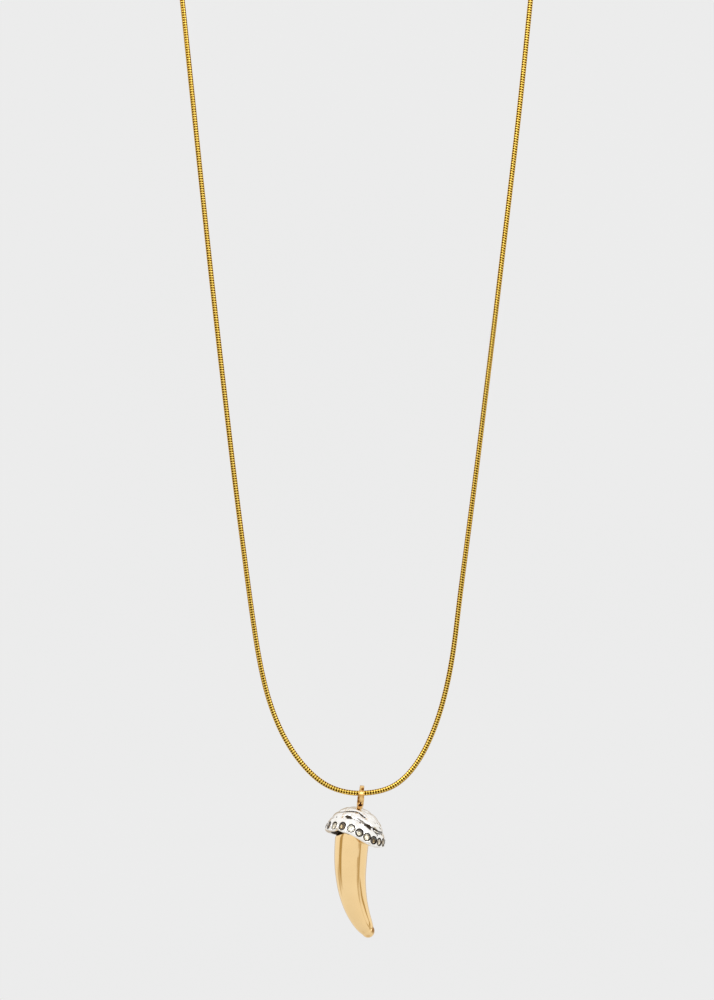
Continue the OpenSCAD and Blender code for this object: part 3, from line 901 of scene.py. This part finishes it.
# the pale heart of a stone, in a rim of painted shade: radius in mm, and its shift to the right and up; by
# number at the front
plain_heart = (0.60, 0.04, -0.08)
front_hearts = {
    17: (0.46, -0.10, -0.05), 18: (0.76, 0.04, 0.00), 19: (0.56, -0.34, -0.24), 20: (0.80, -0.02, -0.02),
    1: (0.52, 0.04, -0.14), 2: (0.70, 0.08, 0.04), 3: (0.44, 0.10, -0.16), 4: (0.74, 0.24, -0.06),
    5: (0.66, 0.10, 0.00),
}
stone_rim_shade = (0.060, 0.036, 0.014)
stone_clearness, stone_ior = 0.9, 1.72


def stone_look(number, tint):
    """A champagne stone with a pale heart in a rim of painted shade, each a little different."""
    material, tree, shader = new_material("stone_champagne_%02d" % number)
    heart_r, shift_side, shift_up = front_hearts.get(number, plain_heart)
    centre, out = stone_frame(number - 1)
    side, up = seat_ways(out)
    middle = centre + 0.15 * out + shift_side * side + shift_up * up
    heart = blob(tree, cap_origin + cap_turn(middle), (heart_r, heart_r, heart_r), 0.16)
    deep = tuple(0.9 * v for v in tint)
    pale = ramp(tree, noise(tree, 520, 2), [(0.38, deep), (0.62, tint)])
    # painted shade: the stone is dark round its pale heart
    tree.links.new(mix_colour(tree, heart, stone_rim_shade, pale), shader.inputs["Base Color"])
    rough = ramp(tree, noise(tree, 1500, 2), [(0.3, 0.02), (0.7, 0.06)])
    tree.links.new(rough, shader.inputs["Roughness"])
    shader.inputs["IOR"].default_value = stone_ior
    shader.inputs["Transmission Weight"].default_value = stone_clearness
    return material


give(horn, horn_look())
give(chain, chain_look())
give(clasp, clasp_look())
give(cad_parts["bail"], bail_look())
give(cap, cap_look())
for number, tint in enumerate(stone_tints, 1):
    give(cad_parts["stone_%02d" % number], stone_look(number, tint))

# what rides on what
for ob, body, nodes, slot in (
    (chain, "loop", ["chain"], "chain_gold"), (clasp, "loop", ["clasp"], "clasp_gold"),
    (cap, "pendant", ["cap"], "silver"), (horn, "pendant", ["horn"], "pale_gold"),
):
    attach(ob, body)
    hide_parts(*nodes)

# camera: level, and as far away as makes the photograph's height fill the picture at the object
lens, sensor_w = 135, 36


def build_camera():
    pixel = mm_per_px * MM
    data = bpy.data.cameras.new("camera")
    data.lens = lens
    data.sensor_width = sensor_w
    data.clip_start, data.clip_end = 0.01, 50
    ob = add_object("camera", data)
    view_x = (photo_w / 2 - foot_px[0]) * pixel
    view_z = foot_z * MM + (foot_px[1] - photo_h / 2) * pixel
    reach = photo_h * pixel / sensor_w * lens
    ob.location = (view_x, -reach, view_z)
    ob.rotation_euler = (math.radians(90), 0, 0)
    bpy.context.scene.camera = ob


build_camera()

# floor, in metres: flat, then a round bend up into the back wall
floor_z = -0.36
floor_half, floor_near, bend_from, bend_r, wall_top = 4, -3.0, 1.2, 0.8, 3.0


def build_floor():
    bend = [(bend_from + bend_r * math.sin(t), bend_r - bend_r * math.cos(t))
            for t in np.linspace(0, math.pi / 2, 12)[1:]]
    profile = [(floor_near, 0.0), (bend_from, 0.0)] + bend + [(bend_from + bend_r, wall_top)]
    points = [(x, y, floor_z + z) for y, z in profile for x in (-floor_half, floor_half)]
    faces = [(2 * i, 2 * i + 1, 2 * i + 3, 2 * i + 2) for i in range(len(profile) - 1)]
    return mesh_object("floor", points, faces)


def floor_look():
    """The photo's pale background, which no light changes."""
    material, tree, _ = new_material("pale_floor")
    pale = ramp(tree, noise(tree, 3, 2), [(0.3, (0.836, 0.8365, 0.836)), (0.7, (0.841, 0.8415, 0.841))])
    glow = tree.nodes.new("ShaderNodeEmission")
    tree.links.new(pale, glow.inputs["Color"])
    glow.inputs["Strength"].default_value = 1.0
    tree.links.new(glow.outputs["Emission"], tree.nodes["Material Output"].inputs["Surface"])
    return material


floor = build_floor()
give(floor, floor_look())
floor.visible_glossy = False
floor.visible_transmission = False

# The room that the metal mirrors: near white, with dark streaks at its sides, warm behind and below.
# A streak's ends are (azimuth, elevation) in degrees; then come half its width, its soft edge and force.
room_streaks = [
    ((-75, 14), (-76, -3), 9, 5, 1.0),
    ((-77, -3), (-80, -8), 5.5, 5, 0.95),
    ((-80, -8), (-106, -15), 2.5, 5, 0.6),
    ((62, -16), (61, -9.5), 3, 4, 0.95),
    ((61, -9.5), (47, -6.5), 2, 3.5, 0.7),
    ((72, -3), (88, 5.5), 2.5, 3.0, 1.0),
]
streak_colour = (0.52, 0.40, 0.20)
behind_from, behind_soft, behind_colour = 0.80, 0.17, (0.50, 0.40, 0.28)
below_from, below_soft, below_colour = -0.85, 0.15, (0.72, 0.62, 0.48)
# past the floor's edge the picture is as pale as the floor
past_floor = (0.8385, 0.839, 0.8385)


def streak(tree, place, start, end, half, soft, force):
    """How dark a streak makes the room in the direction place."""
    way = (end[0] - start[0], end[1] - start[1], 0)
    size = way[0] ** 2 + way[1] ** 2
    offset = vector_node(tree, "SUBTRACT", place, (*start, 0)).outputs["Vector"]
    reach = vector_node(tree, "DOT_PRODUCT", offset, way).outputs["Value"]
    nearest = vector_node(tree, "SCALE", way)
    tree.links.new(clamped(tree, math_node(tree, "DIVIDE", reach, size)), nearest.inputs["Scale"])
    rest = vector_node(tree, "SUBTRACT", offset, nearest.outputs["Vector"]).outputs["Vector"]
    far = vector_node(tree, "LENGTH", rest).outputs["Value"]
    fall = math_node(tree, "DIVIDE", math_node(tree, "SUBTRACT", half + soft, far), soft)
    return math_node(tree, "MULTIPLY", clamped(tree, fall), force)


def room_colour(tree):
    """The room's colour by direction."""
    parts = tree.nodes.new("ShaderNodeSeparateXYZ")
    tree.links.new(tree.nodes.new("ShaderNodeTexCoord").outputs["Generated"], parts.inputs[0])
    x, y, z = parts.outputs
    azimuth = math_node(tree, "ARCTAN2", x, math_node(tree, "MULTIPLY", y, -1))
    place = tree.nodes.new("ShaderNodeCombineXYZ")
    tree.links.new(math_node(tree, "DEGREES", azimuth), place.inputs[0])
    tree.links.new(math_node(tree, "DEGREES", math_node(tree, "ARCSINE", z)), place.inputs[1])
    dark = 0.0
    for row in room_streaks:
        dark = math_node(tree, "MAXIMUM", dark, streak(tree, place.outputs[0], *row))
    light = mix_colour(tree, dark, (1, 1, 1), streak_colour)
    upward = ramp(tree, math_node(tree, "MULTIPLY_ADD", z, 0.5, 0.5),
                  [(0.0, 0.80), (0.5, (0.95, 0.95, 0.94)), (1.0, 1.04)])
    room = mix_colour(tree, 1.0, upward, light, "MULTIPLY")
    behind = math_node(tree, "MULTIPLY", math_node(tree, "SUBTRACT", y, behind_from), 1 / behind_soft)
    room = mix_colour(tree, clamped(tree, behind), room, behind_colour)
    below = math_node(tree, "MULTIPLY", math_node(tree, "SUBTRACT", below_from, z), 1 / below_soft)
    return mix_colour(tree, clamped(tree, below), room, below_colour)


def build_room():
    world = bpy.data.worlds.new("studio")
    bpy.context.scene.world = world
    world.use_nodes = True
    tree = world.node_tree
    mirrored = tree.nodes["Background"]
    tree.links.new(room_colour(tree), mirrored.inputs["Color"])
    mirrored.inputs["Strength"].default_value = 1.0
    seen = tree.nodes.new("ShaderNodeBackground")
    seen.inputs["Color"].default_value = (*past_floor, 1)
    pick = tree.nodes.new("ShaderNodeMixShader")
    tree.links.new(tree.nodes.new("ShaderNodeLightPath").outputs["Is Camera Ray"], pick.inputs[0])
    tree.links.new(mirrored.outputs[0], pick.inputs[1])
    tree.links.new(seen.outputs[0], pick.inputs[2])
    tree.links.new(pick.outputs[0], tree.nodes["World Output"].inputs["Surface"])


build_room()

# soft lights, all aimed at one point between the strands, above the pendant
light_aim = Vector((0, 0, -0.2))


def softbox(name, place, size, power):
    data = bpy.data.lights.new(name, "AREA")
    data.shape = "RECTANGLE"
    data.size, data.size_y = size
    data.energy = power
    ob = add_object(name, data)
    ob.location = place
    ob.rotation_euler = (light_aim - Vector(place)).to_track_quat("-Z", "Y").to_euler()
    ob.visible_camera = False


softbox("soft_left", (-0.7, -0.9, 0.5), (0.5, 0.5), 6)
softbox("soft_right", (0.8, -0.5, 0.3), (0.3, 0.6), 2.5)
softbox("soft_top", (0.04, -0.8, 0.40), (0.06, 0.5), 0.7)

bpy.context.scene.view_settings.view_transform = "Standard"
bpy.context.scene.view_settings.look = "None"
